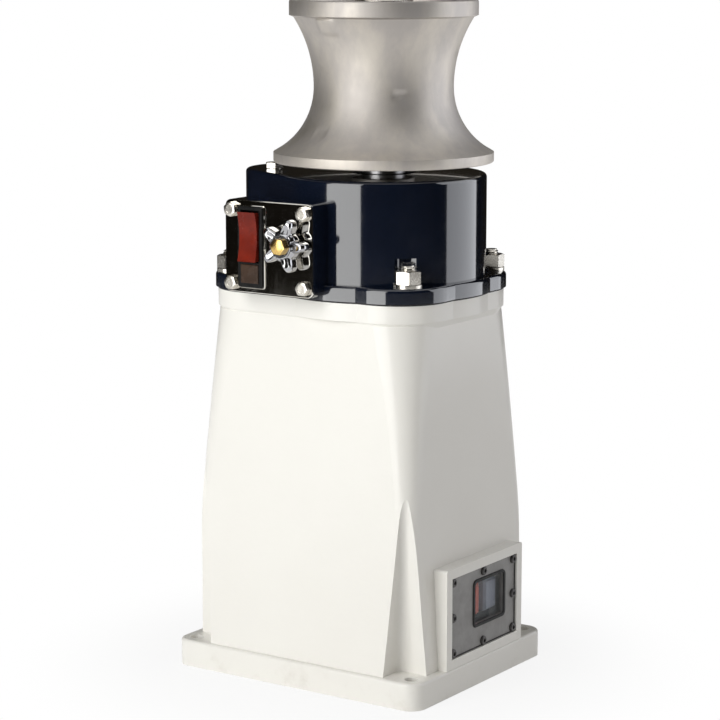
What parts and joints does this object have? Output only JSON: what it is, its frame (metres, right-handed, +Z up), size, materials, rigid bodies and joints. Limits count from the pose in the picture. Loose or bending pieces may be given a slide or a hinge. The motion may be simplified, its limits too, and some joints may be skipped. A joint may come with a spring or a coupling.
{
  "type": "anchor windlass",
  "caption": "Upright electric capstan: a waisted rope drum on a geared head that stands on a tapered hollow pedestal, with a switch plate at the front and a glazed terminal box at the foot.",
  "frame": {"origin": "middle of the four foundation bolt holes, on the underside of the pedestal base", "axes": "+Z up along the drum axis, +X towards the terminal box, -Y towards the switch plate"},
  "size_m": [0.238, 0.223, 0.5545],
  "materials": {
    "cream_paint": "semi-gloss",
    "navy_paint": "gloss",
    "cast_stainless": "satin",
    "bright_steel": "bright",
    "mirror_plate": "polished",
    "black_plastic": "gloss",
    "red_plastic": "gloss",
    "amber_plastic": "gloss",
    "chrome_knob": "polished",
    "brass": "satin",
    "gasket_rubber": "matt",
    "gear_steel": "machined",
    "bronze": "machined",
    "motor_paint": "satin",
    "core_steel": "raw",
    "ferrite": "matt",
    "insulating_plastic": "matt",
    "grey_plastic": "satin",
    "clear_pane": "clear",
    "red_rubber": "matt",
    "grey_rubber": "matt",
    "cast_aluminium": "cast"
  },
  "bodies": {
    "frame": {"pedestal": "cream_paint", "case_gasket": "gasket_rubber", "gear_case": "navy_paint", "gear_floor": "cast_aluminium", "case_studs": "bright_steel", "case_washers": "bright_steel", "case_nuts": "bright_steel", "switch_plate": "mirror_plate", "plate_bolts": "bright_steel", "switch_bezel": "black_plastic", "rocker_pin": "bright_steel", "switch_lamp": "amber_plastic", "speed_dial": "insulating_plastic", "bush_nut": "bright_steel", "upper_bearing_outer": "gear_steel", "lower_bearing_outer": "gear_steel", "shaft_seal": "gasket_rubber", "idler_bushes": "bronze", "motor_shell": "motor_paint", "motor_head": "cast_aluminium", "motor_foot": "cast_aluminium", "rotor_bushes": "bronze", "motor_magnets": "ferrite", "brush_ring": "insulating_plastic", "brushes": "insulating_plastic", "motor_screws": "bright_steel", "oil_plug": "bright_steel", "terminal_cover": "grey_plastic", "window_pane": "clear_pane", "cover_screws": "bright_steel", "terminal_block": "insulating_plastic", "terminal_studs": "brass", "red_boot": "red_rubber", "grey_boot": "grey_rubber"},
    "drum": {"drum": "cast_stainless", "drum_key": "gear_steel", "drum_shaft": "gear_steel", "drum_wheel": "gear_steel", "drum_cap": "bright_steel", "cap_bolt": "bright_steel", "upper_bearing_inner": "gear_steel", "lower_bearing_inner": "gear_steel"},
    "idler": {"idler_shaft": "gear_steel", "idler_wheel": "gear_steel"},
    "rotor": {"rotor_pinion": "gear_steel", "rotor_shaft": "gear_steel", "rotor_core": "core_steel", "commutator": "bronze"},
    "rocker": {"rocker_button": "red_plastic"},
    "knob": {"speed_knob": "chrome_knob", "knob_nut": "brass", "knob_spindle": "bright_steel"}
  },
  "joints": [
    {"name": "drum_spin", "type": "hinge", "parent": "frame", "child": "drum", "pos_m": [0.022, 0, 0.47], "axis": [0, 0, 1], "continuous": true},
    {"name": "idler_spin", "type": "hinge", "parent": "frame", "child": "idler", "pos_m": [-0.056, 0, 0.36], "axis": [0, 0, 1], "continuous": true},
    {"name": "rotor_spin", "type": "hinge", "parent": "frame", "child": "rotor", "pos_m": [-0.01703, 0.0225, 0.24], "axis": [0, 0, 1], "continuous": true},
    {"name": "rocker_tilt", "type": "hinge", "parent": "frame", "child": "rocker", "pos_m": [-0.033, -0.1025, 0.3635], "axis": [1, 0, 0], "range_deg": [-9, 9], "stiffness_Nm_per_rad": 0.1},
    {"name": "knob_turn", "type": "hinge", "parent": "frame", "child": "knob", "pos_m": [0.005, -0.108, 0.3595], "axis": [0, -1, 0], "range_deg": [-150, 150]}
  ],
  "couplings": [
    {"joint": "idler_spin", "follows": "drum_spin", "ratio": -5},
    {"joint": "rotor_spin", "follows": "drum_spin", "ratio": 20}
  ]
}
